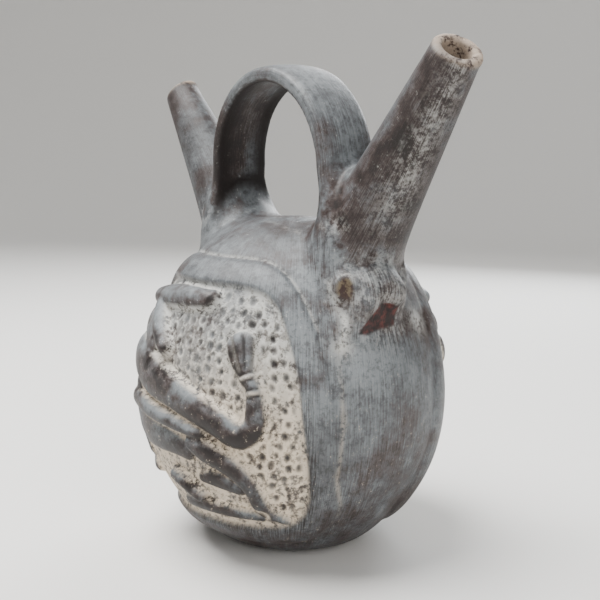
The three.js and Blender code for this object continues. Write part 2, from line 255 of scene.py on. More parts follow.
def bell(offset, width):
    """1 at an offset of 0, fading out over a width to either side."""
    return np.exp(-(offset / width) ** 2)


def sphere_distance(points, centre, radius):
    return np.linalg.norm(points - centre, axis=1) - radius


def ellipsoid_distance(points, centre, half):
    scaled = (points - centre) / half
    near = np.linalg.norm(scaled, axis=1)
    slope = np.maximum(np.linalg.norm(scaled / half, axis=1), 1e-6)
    return near * (near - 1.0) / slope


def egg_distance(points, wall=0.0):
    return ellipsoid_distance(points, BODY_CENTRE, BODY_HALF - wall)


def hand_wobble(points):
    """The slow unevenness that the maker's hands left, in millimetres."""
    x, y, z = points.T
    wobble = 0.30 * np.sin(0.071 * x + 1.3) * np.sin(0.083 * z + 0.4)
    wobble += 0.22 * np.sin(0.117 * y + 0.063 * z + 2.1)
    wobble += 0.14 * np.sin(0.19 * x - 0.14 * z) * np.sin(0.16 * y + 0.9)
    return wobble * smooth_step(3.0, 14.0, z)


class Spout:
    """The spout on one side, in the mirrored place where it would stand towards +X."""

    def __init__(self, side):
        self.side = side
        self.length = SPOUT_LENGTH[side]
        self.tip_radius = SPOUT_TIP_RADIUS[side]
        tilt = SPOUT_TILT[side]
        self.axis = unit(np.array([math.sin(tilt), -math.tan(SPOUT_LEAN), math.cos(tilt)]))
        self.across = unit(np.cross((0.0, 1.0, 0.0), self.axis))
        self.back = np.cross(self.axis, self.across)
        self.tip = SPOUT_FOOT + self.axis * self.length

    def from_foot(self, points):
        return points * (self.side, 1.0, 1.0) - SPOUT_FOOT

    def along(self, points):
        """Distance along and distance from the spout's axis."""
        from_foot = self.from_foot(points)
        along = from_foot @ self.axis
        return along, np.linalg.norm(from_foot - np.outer(along, self.axis), axis=1)

    def turn(self, points):
        """Angle round the axis: 0 on the side that faces up and in."""
        from_foot = self.from_foot(points)
        return np.arctan2(from_foot @ self.back, from_foot @ self.across)

    def radius(self, along):
        taper = SPOUT_FOOT_RADIUS + (self.tip_radius - SPOUT_FOOT_RADIUS) * along / self.length
        return taper + SPOUT_FLARE * np.exp(-np.maximum(0.0, along - SPOUT_FLARE_AT) / SPOUT_FLARE_REACH)

    def outside(self, points):
        along, radial = self.along(points)
        mouth = (points * (self.side, 1.0, 1.0) - self.tip) @ unit(MOUTH_NORMAL)
        spread = LIP_SPREAD * smooth_step(self.length - LIP_SPREAD_REACH, self.length, along)
        tube = radial - self.radius(along) - spread
        return smooth_max(np.maximum(tube, -along), mouth, LIP_ROUND)

    def bore(self, points):
        along, radial = self.along(points)
        bore = radial - self.radius(np.maximum(along, BORE_FLARE_END)) + SPOUT_WALL
        return np.maximum(bore, -along)


SPOUTS = (Spout(1.0), Spout(-1.0))


def strap_place(points):
    """Distance from the arch's line, place across the band, and length down a leg."""
    x, y, z = points.T
    lean = math.tan(STRAP_LEAN)
    across = (y + STRAP_FORWARD + (z - BODY_TOP_Z) * lean) / (1.0 + lean * lean)
    height = z - across * lean - STRAP_CENTRE_Z
    out = np.abs(x) - STRAP_RADIUS
    on_arc = np.hypot(x, height) - STRAP_RADIUS
    on_leg = out * math.cos(STRAP_SPLAY) + height * math.sin(STRAP_SPLAY)
    down = out * math.sin(STRAP_SPLAY) - height * math.cos(STRAP_SPLAY)
    return np.where(height > 0.0, on_arc, on_leg), across, np.where(height > 0.0, 0.0, down)


def strap_distance(points):
    off, across, down = strap_place(points)
    growth = 1.0 + STRAP_FOOT_GROWTH * np.clip(down / STRAP_LEG, 0.0, 1.0) ** 2
    half_width = STRAP_WIDTH / 2 * (1.0 + (growth - 1.0) / 4.0)
    half_thick = STRAP_THICKNESS / 2 * growth
    crown = STRAP_CROWN * (1.0 - (across / half_width) ** 2)
    beyond = np.stack([np.abs(off - crown) - half_thick, np.abs(across) - half_width], axis=1) + STRAP_EDGE
    band = np.linalg.norm(np.maximum(beyond, 0.0), axis=1) + np.minimum(beyond.max(axis=1), 0.0) - STRAP_EDGE
    return smooth_max(band, down - STRAP_LEG - STRAP_ROOT, STRAP_END_ROUND)


def lug_distance(points):
    head = ellipsoid_distance(points, HEAD_CENTRE, HEAD_HALF)
    for place, radius in CHEEK_PLACES:
        head = smooth_min(head, sphere_distance(points, place, radius), CHEEK_BLEND)
    head = smooth_max(head, (points - HEAD_FACE_PLACE) @ unit(HEAD_FACE_NORMAL), HEAD_FACE_EDGE)
    head = smooth_min(head, sphere_distance(points, MUZZLE_PLACE, MUZZLE_RADIUS), MUZZLE_BLEND)
    for ear in EAR_PLACES:
        head = smooth_min(head, sphere_distance(points, ear, EAR_RADIUS), FACE_BLEND)
    head = smooth_min(head, sphere_distance(points, BEAD_PLACE, BEAD_RADIUS), BEAD_BLEND)
    dot = BEAD_PLACE + (BEAD_RADIUS * 0.8, -BEAD_RADIUS * 0.55, 0.8)
    return smooth_max(head, -sphere_distance(points, dot, BEAD_DOT_RADIUS), BEAD_BLEND)


def inner_distance(points):
    cavity = smooth_max(egg_distance(points, BODY_WALL), FLOOR - points[:, 2], FLOOR_EDGE_ROUND)
    for spout in SPOUTS:
        cavity = smooth_min(cavity, spout.bore(points), BORE_BLEND)
    return cavity


def outer_distance(points):
    outside = smooth_max(egg_distance(points) - hand_wobble(points), -points[:, 2], BASE_EDGE_ROUND)
    for spout in SPOUTS:
        outside = smooth_min(outside, spout.outside(points), SPOUT_BLEND)
        outside = smooth_min(outside, lug_distance(points * (spout.side, spout.side, 1.0)), LUG_BLEND)
    return smooth_min(outside, strap_distance(points), STRAP_BLEND)


def clay_distance(points):
    return smooth_max(outer_distance(points), -inner_distance(points), BORE_LIP_ROUND)


def on_inner_wall(points):
    """True for points nearer to the inner wall than to the outer one."""
    return np.abs(inner_distance(points)) < np.abs(outer_distance(points))


def slope_of(distance, points, step=0.05):
    slopes = np.empty_like(points)
    for axis in range(3):
        shift = np.zeros(3)
        shift[axis] = step
        slopes[:, axis] = (distance(points + shift) - distance(points - shift)) / (2.0 * step)
    return slopes


def settle(points, rounds, most=1.3):
    """The points moved onto the surface of the clay."""
    for _ in range(rounds):
        gap = clay_distance(points)
        slope = slope_of(clay_distance, points)
        square = np.maximum((slope * slope).sum(axis=1), 0.05)
        move = slope * (gap / square)[:, None]
        length = np.linalg.norm(move, axis=1, keepdims=True)
        points = points - move * np.minimum(1.0, most / np.maximum(length, 1e-9))
    return points


# The relief, worked out in the front view of a panel

def panel_reach(across, height):
    """How far out a place lies on the panel: 0 at its middle, 1 where the frame begins."""
    rise = (height - PANEL_MIDDLE_Z) / PANEL_HALF_HEIGHT
    down = (1.0 - rise) / 2.0
    side = PANEL_TOP_ANGLE + (PANEL_BOTTOM_ANGLE - PANEL_TOP_ANGLE) * down + PANEL_BULGE * down * (1.0 - down)
    level = np.clip((height - BODY_CENTRE[2]) / BODY_HALF[2], -0.999, 0.999)
    radius = BODY_HALF[0] * np.sqrt(1.0 - level * level)
    swing = np.degrees(np.arcsin(np.clip(across / radius, -1.0, 1.0))) / side
    return (np.abs(swing) ** PANEL_CORNER + np.abs(rise) ** PANEL_CORNER) ** (1.0 / PANEL_CORNER)


def smooth_path(stops, steps=14):
    """Points on a smooth line through the stops, each with its half-width."""
    stops = np.array(stops, float)
    ends = np.vstack([2 * stops[0] - stops[1], stops, 2 * stops[-1] - stops[-2]])
    points = []
    for index in range(1, len(ends) - 2):
        before, start, stop, after = ends[index - 1:index + 3]
        for share in np.arange(steps) / steps:
            cubic = (2 * start + (stop - before) * share
                     + (2 * before - 5 * start + 4 * stop - after) * share ** 2
                     + (3 * start - before - 3 * stop + after) * share ** 3)
            points.append(cubic / 2.0)
    points.append(stops[-1])
    return np.array(points)


def path_distance(points, stops):
    """Distance from a smooth line through the stops."""
    return np.min([np.linalg.norm(points - place, axis=1) for place in smooth_path(stops)], axis=0)


def limb_round(across, height, stops, growth=0.0):
    """The rounded section of a limb: 1 on its back, 0 at its edge and negative outside."""
    best = np.full(len(across), -9.0)
    for x, z, half_width in smooth_path(stops):
        width = half_width + growth
        best = np.maximum(best, 1.0 - ((across - x) ** 2 + (height - z) ** 2) / (width * width))
    return best


def segment_distance(across, height, start, end):
    start, end = np.array(start), np.array(end)
    line = end - start
    places = np.stack([across, height], axis=1) - start
    share = np.clip(places @ line / (line @ line), 0.0, 1.0)
    return np.linalg.norm(places - np.outer(share, line), axis=1)


def pit_places(spacing, seed):
    """Jittered places on the front of the body, row by row, each with a size, a lean and a depth."""
    generator = np.random.default_rng(seed)
    places = []
    for row, height in enumerate(np.arange(PANEL_BOTTOM_Z + 2.5, PANEL_TOP_Z, spacing * 0.82)):
        level = (height - BODY_CENTRE[2]) / BODY_HALF[2]
        radius = BODY_HALF[0] * math.sqrt(1.0 - level * level)
        widest = math.radians(PANEL_BOTTOM_ANGLE + PANEL_BULGE)
        for swing in np.arange(-widest, widest, spacing / radius):
            turn, rise, size, lean, press = generator.uniform(-1.0, 1.0, 5)
            angle = swing + (0.5 * (row % 2) + 0.2 * turn) * spacing / radius
            if abs(angle) < PIT_MOST_TURN:
                places.append((radius * math.sin(angle), -radius * math.cos(angle),
                               height + 0.17 * rise * spacing, 1.58 + 0.38 * size, 0.4 * lean,
                               0.78 + 0.22 * press))
    return np.array(places)


def pit_marks(points, spacing, seed):
    """Depth of the pits, from 0 to 1, and the height of their rims, at points of the front."""
    depth = np.zeros(len(points))
    rim = np.zeros(len(points))
    for x, y, z, size, lean, press in pit_places(spacing, seed):
        away = points - (x, y, z)
        near = np.abs(away).max(axis=1) < 4.0
        if not near.any():
            continue
        tangent = np.array([-y, x, 0.0]) / math.hypot(x, y)
        side = away[near] @ tangent
        rise = away[near][:, 2] + lean * side
        radial = np.hypot(side * 1.08, rise * 0.9) / size
        bowl = np.clip(1.0 - radial * radial, 0.0, 1.0)
        depth[near] = np.maximum(depth[near], press * bowl ** 1.2)
        rim[near] = np.maximum(rim[near], press * bell(radial - 1.2, 0.26))
    return depth, rim


class Relief:
    """Heights and finishes of one panel at points given as seen from its front."""

    def __init__(self, points, sizes, seed):
        self.points = points
        self.sizes = sizes
        self.across = points[:, 0]
        self.height = points[:, 2]
        self.reach = panel_reach(self.across, self.height)
        self.field = 1.0 - smooth_step(1.0, 1.016, self.reach)
        self.seed = seed

    def sections(self, limbs, growth=0.0):
        """The highest of the limbs' rounded sections."""
        return np.max([limb_round(self.across, self.height, stops, growth) for stops in limbs], axis=0)

    def marks(self):
        """Fine lines and cords: height changes in millimetres, where they hold pale soil, and where their
        grooves get painted shade.
        """
        lift = np.zeros(len(self.across))
        pale = np.zeros(len(self.across))
        groove_shade = np.zeros(len(self.across))
        for start, end in CORDS:
            off = segment_distance(self.across, self.height, start, end)
            lift += 0.6 * bell(off, 0.65) - 0.4 * bell(off - 1.3, 0.4)
            pale = np.maximum(pale, bell(off, 0.5))
            groove_shade = np.maximum(groove_shade, bell(off - 1.3, 0.5))
        east, north = self.across - TUFT_PIVOT[0], self.height - TUFT_PIVOT[1]
        fanned = np.arctan2(-east, north)
        far = np.hypot(east, north)
        fan = smooth_step(9.5, 12.0, far) * (1.0 - smooth_step(24.0, 26.0, far))
        for number, groove in enumerate(TUFT_GROOVES):
            cut = bell((fanned - groove - 0.04) * far, 0.5) * fan
            lift -= 0.8 * cut
            pale = np.maximum(pale, 0.35 * (number % 2) * cut)
            groove_shade = np.maximum(groove_shade, cut)
        for centre, radius in ((SERPENT_EYE, SERPENT_EYE_RADIUS), (BEAST_EYE, BEAST_EYE_RADIUS)):
            ring = bell(np.hypot(self.across - centre[0], self.height - centre[1]) - radius, 0.42)
            lift -= 0.55 * ring
            pale = np.maximum(pale, 0.9 * ring)
        mouth = bell(segment_distance(self.across, self.height, *BEAST_MOUTH), 0.8)
        beak = bell(segment_distance(self.across, self.height, *SERPENT_BEAK), 0.35)
        lift -= 0.9 * mouth
        lift -= 0.5 * beak
        pale = np.maximum(pale, np.maximum(0.8 * mouth, beak))
        return lift, pale, groove_shade

    def lift(self):
        """Height over the plain body, and the finishes that go with it."""
        sizes, field, across = self.sizes, self.field, self.across
        band = (self.reach - 1.0) / FRAME_REACH
        on_frame = smooth_step(0.03, 0.1, band) * (1.0 - smooth_step(0.9, 1.08, band))
        convex = 1.0 - 0.5 * (np.clip(band, 0.0, 1.0) * 2.0 - 0.8) ** 2
        groove = bell(band - 1.12, 0.055)
        upper = smooth_step(92.0, 104.0, self.height)
        height = sizes.frame_lift * on_frame * convex - (0.12 + 0.33 * upper) * groove

        high, low, tuft = (self.sections(limbs) for limbs in (HIGH_LIMBS, LOW_LIMBS, (TUFT,)))
        figure = np.max([np.clip(section, 0.0, 1.0) ** fullness * (lift + sizes.ground_sink)
                         for section, fullness, lift in ((high, 0.5, sizes.figure_lift),
                                                         (low, 0.5, sizes.low_lift),
                                                         (tuft, 0.4, sizes.tuft_lift))], axis=0)
        section = np.max([high, low, tuft], axis=0)
        inside = smooth_step(0.0, 0.25, section)
        beside = smooth_step(-0.02, 0.22, self.sections((TUFT, *HIGH_LIMBS, *LOW_LIMBS), FIGURE_CLEARANCE))

        under_beast = self.height < np.interp(across, *np.array(PLAIN_BELOW).T, left=90.0, right=0.0)
        plain = (1.0 - beside) * (1.0 - smooth_step(0.95, 0.985, self.reach)) * (1.0 - under_beast)
        pits, rims = pit_marks(self.points, sizes.pit_spacing, self.seed)
        pits *= plain * field
        rims *= plain * field
        ground = -sizes.ground_sink - sizes.pit_depth * pits + PIT_RIM_LIFT * rims
        lines, pale, groove_shade = self.marks()
        height = height + field * (ground + figure)
        height += field * lines

        crease = np.max([field * beside * (1.0 - smooth_step(0.1, 0.5, section)),
                         field * smooth_step(0.965, 1.0, self.reach) * 0.6, 0.55 * groove * upper], axis=0)
        slaty = smooth_step(66.0, 86.0, self.height + 0.25 * across) * smooth_step(34.0, 22.0, across)
        # Painted shade, mixed with cracks, along the frame's inner right side low down.
        side = on_frame * (across > 0) * smooth_step(0.5, 0.12, band) * smooth_step(96.0, 60.0, self.height)
        # Painted shade: the ground's left side and the frame's lower part are painted browner.
        shaded = field * smooth_step(-18.0, -34.0, across) + on_frame * smooth_step(60.0, 30.0, self.height)
        return {"lift": height, "soil": field * (1.0 - inside), "pit": pits, "rim": rims, "crease": crease,
                "pale": field * pale, "crack": np.maximum(side, field * groove_shade),
                "brown": np.maximum(np.clip(shaded, 0.0, 1.0) * 0.6, 0.7 * inside * field),
                "slaty": slaty * field, "figure": inside * field}


# Settings that a user would change

class ClaySizes(PropertyGroup):
    """Sizes of the relief and of the mesh, in millimetres."""

    grain: FloatProperty(name="Grain", description="Size of the mesh's facets", default=1.8, min=0.5)
    frame_lift: FloatProperty(name="Frame lift", description="Height of the panel's frame", default=1.6)
    figure_lift: FloatProperty(name="Figure lift", description="Height of the figures' backs", default=3.6)
    low_lift: FloatProperty(name="Low lift", description="Height of the figures behind", default=1.8)
    tuft_lift: FloatProperty(name="Tuft lift", description="Height of the tail's tuft", default=2.8)
    ground_sink: FloatProperty(name="Ground sink", description="Depth of the panel's ground", default=0.9)
    pit_depth: FloatProperty(name="Pit depth", description="Depth of the stamped pits", default=0.85)
    pit_spacing: FloatProperty(name="Pit spacing", description="Distance between pits", default=5.3)
    seed: IntProperty(name="Seed", description="Start of the random scatter", default=7)


class ClayColours(PropertyGroup):
    """Colours of the clay and of what lies on it."""

    # Also the colour of painted shade in pits, grooves, under the strap and on the figures.
    black_and_shade: FloatVectorProperty(name="Soot", description="Darkest clay", subtype="COLOR",
                              default=to_linear(27, 21, 20))
    umber: FloatVectorProperty(name="Umber", description="Brown cast of worn clay", subtype="COLOR",
                               default=to_linear(62, 50, 47))
    slate: FloatVectorProperty(name="Slate", description="Blue-grey burnished clay", subtype="COLOR",
                               default=to_linear(85, 88, 91))
    # Also the colour of the painted highlights on the figures' upper sides.
    ash_and_highlight: FloatVectorProperty(name="Ash", description="Palest burnish", subtype="COLOR",
                             default=to_linear(122, 127, 130))
    soil_grey: FloatVectorProperty(name="Grey soil", description="Soil in the upper ground", subtype="COLOR",
                                   default=to_linear(176, 176, 172))
    soil_cream: FloatVectorProperty(name="Cream soil", description="Soil in the lower ground",
                                    subtype="COLOR", default=to_linear(206, 192, 172))
    olive: FloatVectorProperty(name="Olive", description="Bare clay inside the mouth and ears",
                               subtype="COLOR", default=to_linear(104, 93, 76))
    # Inside the bores the same beige is a painted pool of light.
    lip: FloatVectorProperty(name="Lip", description="Worn beige clay of the mouths", subtype="COLOR",
                             default=to_linear(158, 143, 128))
    # Painted reflection: a red cast in the shade of the lug's pressed face, not the clay's colour.
    painted_red_reflection: FloatVectorProperty(name="Rust", description="Red-brown clay of the lug's pressed face",
                              subtype="COLOR", default=to_linear(80, 40, 36))


class StudioSizes(PropertyGroup):
    """Camera, floor and lights."""

    azimuth: FloatProperty(name="Azimuth", description="Camera's turn round the bottle", subtype="ANGLE",
                           default=math.radians(52.80))
    elevation: FloatProperty(name="Elevation", description="Camera's height angle", subtype="ANGLE",
                             default=math.radians(7.72))
    roll: FloatProperty(name="Roll", description="Camera's roll", subtype="ANGLE", default=math.radians(1.21))
    distance: FloatProperty(name="Distance", description="Camera to its aim", unit="LENGTH", default=0.39993)
    lens: FloatProperty(name="Lens", description="Focal length in millimetres", default=55.9)
    aim: FloatVectorProperty(name="Aim", description="Point that the camera looks at", unit="LENGTH",
                             default=(0.00099, 0.00227, 0.10144))
    floor_reach: FloatProperty(name="Floor reach", description="Radius of the pale sweep", unit="LENGTH",
                               default=2.4)
    key: FloatProperty(name="Key", description="Power of the overhead light in watts", default=40.0)
    fill: FloatProperty(name="Fill", description="Power of the side light in watts", default=6.0)
    rim: FloatProperty(name="Rim", description="Power of the back light in watts", default=12.0)


# Nodes

class Wire:
    """A socket's output that can be used in arithmetic."""

    def __init__(self, sheet, socket):
        self.sheet = sheet
        self.socket = socket

    def maths(self, operation, first, second):
        return self.sheet.add("ShaderNodeMath", {"operation": operation}, {0: first, 1: second})

    def __add__(self, other):
        return self.maths("ADD", self, other)

    def __sub__(self, other):
        return self.maths("SUBTRACT", self, other)

    def __rsub__(self, other):
        return self.maths("SUBTRACT", other, self)

    def __mul__(self, other):
        return self.maths("MULTIPLY", self, other)

    __radd__ = __add__
    __rmul__ = __mul__


class NodeSheet:
    """A material's nodes."""

    def __init__(self, name):
        self.material = bpy.data.materials.new(name)
        self.material.use_nodes = True
        self.tree = self.material.node_tree
        self.tree.nodes.clear()

    def add(self, kind, settings=None, sockets=None, output=0):
        """A node with its settings made first, and then its sockets fed with values or wires."""
        node = self.tree.nodes.new(kind)
        for name, value in (settings or {}).items():
            setattr(node, name, value)
        for key, value in (sockets or {}).items():
            if isinstance(value, Wire):
                self.tree.links.new(value.socket, node.inputs[key])
            else:
                node.inputs[key].default_value = value
        return Wire(self, node.outputs[output]) if node.outputs else None

    def attribute(self, name):
        return self.add("ShaderNodeAttribute", {"attribute_name": name}, output="Fac")

    def vector(self, name):
        return self.add("ShaderNodeAttribute", {"attribute_name": name}, output="Vector")

    def stretched(self, vector, scale):
        return self.add("ShaderNodeVectorMath", {"operation": "MULTIPLY"}, {0: vector, 1: scale})

    def noise(self, vector, scale, detail=4.0, roughness=0.55, distortion=0.0):
        return self.add("ShaderNodeTexNoise", {},
                        {"Vector": vector, "Scale": scale, "Detail": detail, "Roughness": roughness,
                         "Distortion": distortion}, "Fac")

    def ramp(self, wire, low, high):
        """0 below low and 1 above high, or the other way round when low is the larger."""
        return self.add("ShaderNodeMapRange", {"interpolation_type": "SMOOTHSTEP"},
                        {"Value": wire, "From Min": low, "From Max": high}, "Result")

    def blend(self, factor, under, over):
        """The colour over laid on the colour under, each a wire or a plain colour."""
        under, over = (colour if isinstance(colour, Wire) else (*colour, 1.0) for colour in (under, over))
        return self.add("ShaderNodeMix", {"data_type": "RGBA", "clamp_factor": True},
                        {0: factor, 6: under, 7: over}, 2)

    def most(self, first, second):
        return self.add("ShaderNodeMath", {"operation": "MAXIMUM"}, {0: first, 1: second})


def blackware(colours):
    """Burnished black earthenware, with streaks of the burnisher, brownish clay, scratches and soil, and
    painted shade, highlights and sheen.
    """
    sheet = NodeSheet("burnished_blackware")
    place = sheet.add("ShaderNodeTexCoord", output="Object")
    grain = sheet.vector("grain")
    masks = {name: sheet.attribute(name) for name in
             ("soil", "pit", "rim", "crease", "pale", "lip", "sooty", "scumble", "brown", "facet", "crack",
              "ear", "slaty", "figure", "worn", "seamless", "facing")}

    # Cloudy mottling, and streaks along the burnisher's strokes.
    clouds = sheet.noise(place, 30.0, 5.0, 0.62)
    patches = sheet.noise(place, 95.0, 6.0, 0.66)
    mottles = sheet.noise(place, 260.0, 4.0, 0.65)
    flecks = sheet.noise(place, 700.0, 3.0, 0.7)
    whole = masks["seamless"] * (1.0 - masks["figure"] * 0.85)
    streaks = sheet.noise(sheet.stretched(grain, (1.7, 0.06, 1.7)), 1.0, 6.0, 0.72)
    streaks = streaks * whole + patches * (1.0 - whole)
    fine_streaks = sheet.noise(sheet.stretched(grain, (4.4, 0.16, 4.4)), 1.0, 4.0, 0.75, 0.3)
    fine_streaks = fine_streaks * whole + mottles * (1.0 - whole)
    scratches = sheet.noise(sheet.stretched(grain, (2.9, 0.4, 2.9)), 1.0, 2.0, 0.9)
    scratches = sheet.ramp(scratches, 0.66, 0.74) * whole

    # Black, brownish clay with painted shade, slate and pale burnish with painted sheen, one over the other.
    # Painted shade: surfaces that face down are painted browner and darker, those that face up less so.
    below = sheet.ramp(masks["facing"], 0.42, 0.12)
    above = sheet.ramp(masks["facing"], 0.55, 0.8)
    brown = sheet.most(masks["brown"] * (1.0 - above * 0.85), below * 0.95)
    tone = clouds * 0.42 + patches * 0.24 + streaks * 0.22 + fine_streaks * 0.12 - brown * 0.07
    # Painted highlight: the tone and the pale burnish are raised where the painted sheen lies.
    tone = tone + masks["worn"] * 0.08
    clay = sheet.blend(sheet.ramp(tone, 0.38, 0.46), colours.black_and_shade, colours.umber)
    clay = sheet.blend(sheet.ramp(tone, 0.42, 0.52), clay, colours.slate)
    polish_and_sheen = clouds * 0.3 + patches * 0.25 + streaks * 0.3 + mottles * 0.15 + masks["worn"] * 0.1
    pale_burnish_and_sheen = sheet.ramp(polish_and_sheen - brown * 0.06, 0.49, 0.59) * (masks["worn"] * 0.3 + 0.6)
    clay = sheet.blend(pale_burnish_and_sheen, clay, colours.ash_and_highlight)
    strokes = sheet.ramp(fine_streaks * 0.55 + streaks * 0.45, 0.5, 0.42)
    clay = sheet.blend(strokes * (brown * 0.55 + 0.2), clay, colours.black_and_shade)
    grit = sheet.ramp(flecks * 0.6 + mottles * 0.4, 0.5, 0.4) * (brown * 0.3 + 0.35)
    clay = sheet.blend(grit, clay, colours.black_and_shade)
    # Painted highlight on the figures' sides that face up, and painted shade on those that face down.
    painted_highlight = masks["figure"] * sheet.ramp(masks["facing"], 0.5, 0.8)
    painted_highlight = painted_highlight * sheet.ramp(clouds * 0.4 + patches * 0.6, 0.38, 0.56)
    clay = sheet.blend(painted_highlight * 0.55, clay, colours.ash_and_highlight)
    shade = masks["figure"] * sheet.ramp(masks["facing"], 0.62, 0.28)
    clay = sheet.blend(shade * 0.7, clay, colours.black_and_shade)
    # Painted shade under the strap, and places painted darker.
    clay = sheet.blend(masks["sooty"] * 0.97, clay, colours.black_and_shade)
    # Painted shade in grooves and along the frame's inner right side, mixed with cracks.
    cracks_and_shade = sheet.ramp(fine_streaks * 0.5 + streaks * 0.5, 0.55, 0.44)
    cracks_and_shade = masks["crack"] * (cracks_and_shade * (1.0 - masks["figure"]) + masks["figure"])
    clay = sheet.blend(cracks_and_shade * 0.9, clay, colours.black_and_shade)

    # Soil: over the ground, in creases and pits' rims, scumbled here and there, and as flecks.
    height = sheet.add("ShaderNodeSeparateXYZ", sockets={0: place}, output=2)
    soil_tone = sheet.blend(sheet.ramp(height, 0.1, 0.055), colours.soil_grey, colours.soil_cream)
    soil_tone = sheet.blend(sheet.ramp(mottles * 0.5 + flecks * 0.5, 0.52, 0.42) * 0.5, soil_tone,
                            colours.olive)
    cover = sheet.ramp(patches * 0.4 + mottles * 0.35 + flecks * 0.25, 0.4, 0.52)
    ground = masks["soil"] * (cover * 0.74 + 0.08) * (1.0 - masks["slaty"] * 0.6)
    ground = ground + masks["rim"] * (sheet.ramp(mottles * 0.5 + flecks * 0.5, 0.42, 0.55) * 0.5 + 0.25)
    ground = ground * (1.0 - masks["pit"] * 0.95)
    creases = masks["crease"] * sheet.ramp(flecks * 0.4 + mottles * 0.3 + patches * 0.3, 0.4, 0.52)
    scumble = masks["scumble"] * sheet.ramp(flecks * 0.3 + mottles * 0.35 + streaks * 0.35, 0.45, 0.6)
    dust = sheet.ramp(flecks * 0.5 + mottles * 0.2 + fine_streaks * 0.3, 0.575, 0.65) * 0.5
    loose = sheet.most(scumble, dust * (1.0 - masks["soil"]) * (1.0 - masks["sooty"]))
    soil = sheet.most(sheet.most(ground, creases), sheet.most(masks["pale"] * 0.85, loose))
    colour = sheet.blend(soil, clay, soil_tone)
    # Painted shade: the pits are painted near black, less so in the upper ground.
    colour = sheet.blend(masks["pit"] * (0.85 - masks["slaty"] * 0.55), colour, colours.black_and_shade)
    # The beige is worn clay on the rims and a painted pool of light inside the bores.
    lip = sheet.blend(sheet.ramp(mottles * 0.6 + flecks * 0.4, 0.38, 0.5), colours.umber, colours.lip)
    colour = sheet.blend(masks["lip"], colour, lip)
    ear = sheet.blend(sheet.ramp(mottles, 0.42, 0.56), colours.umber, colours.olive)
    colour = sheet.blend(masks["ear"], colour, ear)
    # Painted shade with a painted red reflection on the lug's pressed face.
    face = sheet.blend(sheet.ramp(fine_streaks * 0.35 + mottles * 0.65, 0.44, 0.62), colours.black_and_shade,
                       colours.painted_red_reflection)
    colour = sheet.blend(masks["facet"], colour, face)
    colour = sheet.blend(scratches * 0.22, colour, colours.ash_and_highlight)

    matt = sheet.most(soil, sheet.most(masks["lip"], masks["ear"]))
    roughness = sheet.ramp(streaks, 0.3, 0.7) * 0.12 + patches * 0.16 + 0.3 + matt * 0.4
    roughness = roughness + brown * 0.12 + masks["facet"] * 0.3 + masks["sooty"] * 0.3

    bumps = flecks * 0.4 + fine_streaks * 0.4 + streaks * 0.5 + patches * 0.5 + mottles * 0.5
    bumps = bumps + matt * flecks * 1.2 + masks["soil"] * mottles * 1.6 - scratches * 0.25
    normal = sheet.add("ShaderNodeBump", {}, {"Strength": 0.6, "Distance": 0.00034, "Height": bumps})
    surface = sheet.add("ShaderNodeBsdfPrincipled", {},
                        {"Base Color": colour, "Roughness": roughness, "Normal": normal, "IOR": 1.5,
                         "Specular IOR Level": 0.36})
    sheet.add("ShaderNodeOutputMaterial", {}, {0: surface})
    return sheet.material


def studio_paper():
    """Plain pale paper for the sweep."""
    sheet = NodeSheet("studio_paper")
    place = sheet.add("ShaderNodeTexCoord", output="Object")
    fibres = sheet.noise(place, 900.0, 3.0, 0.6)
    normal = sheet.add("ShaderNodeBump", {}, {"Strength": 0.08, "Distance": 0.0003, "Height": fibres})
    surface = sheet.add("ShaderNodeBsdfPrincipled", {},
                        {"Base Color": PAPER_COLOUR, "Roughness": 0.85, "Normal": normal})
    sheet.add("ShaderNodeOutputMaterial", {}, {0: surface})
    return sheet.material


# Meshes

def new_piece(name, mesh):
    piece = bpy.data.objects.new(name, mesh)
    bpy.context.scene.collection.objects.link(piece)
    return piece


def add_ball(mesh, centre, half, segments=40):
    """An ellipsoid, given in millimetres."""
    half = np.ones(3) * half
    matrix = Matrix.Translation(Vector(centre) * MM) @ Matrix.Diagonal((*(half * MM), 1.0))
    return bmesh.ops.create_uvsphere(mesh, u_segments=segments, v_segments=segments // 2, radius=1.0,
                                     matrix=matrix)["verts"]


def cut_flat(mesh, height):
    """The mesh cut level at a height and closed there."""
    parts = mesh.verts[:] + mesh.edges[:] + mesh.faces[:]
    bmesh.ops.bisect_plane(mesh, geom=parts, plane_co=(0, 0, height * MM), plane_no=(0, 0, -1),
                           clear_outer=True)
    rim = [edge for edge in mesh.edges if edge.is_boundary]
    bmesh.ops.contextual_create(mesh, geom=rim)


def add_tube(mesh, spout, start_radius, end_radius, length):
    """A closed cone along a spout's axis from its foot, given in millimetres."""
    axis = Vector(spout.axis)
    axis.x *= spout.side
    middle = Vector(SPOUT_FOOT)
    middle.x *= spout.side
    middle += axis * (length / 2)
    turn = axis.to_track_quat("Z", "Y").to_matrix().to_4x4()
    bmesh.ops.create_cone(mesh, cap_ends=True, segments=32, radius1=start_radius * MM,
                          radius2=end_radius * MM, depth=length * MM,
                          matrix=Matrix.Translation(middle * MM) @ turn)


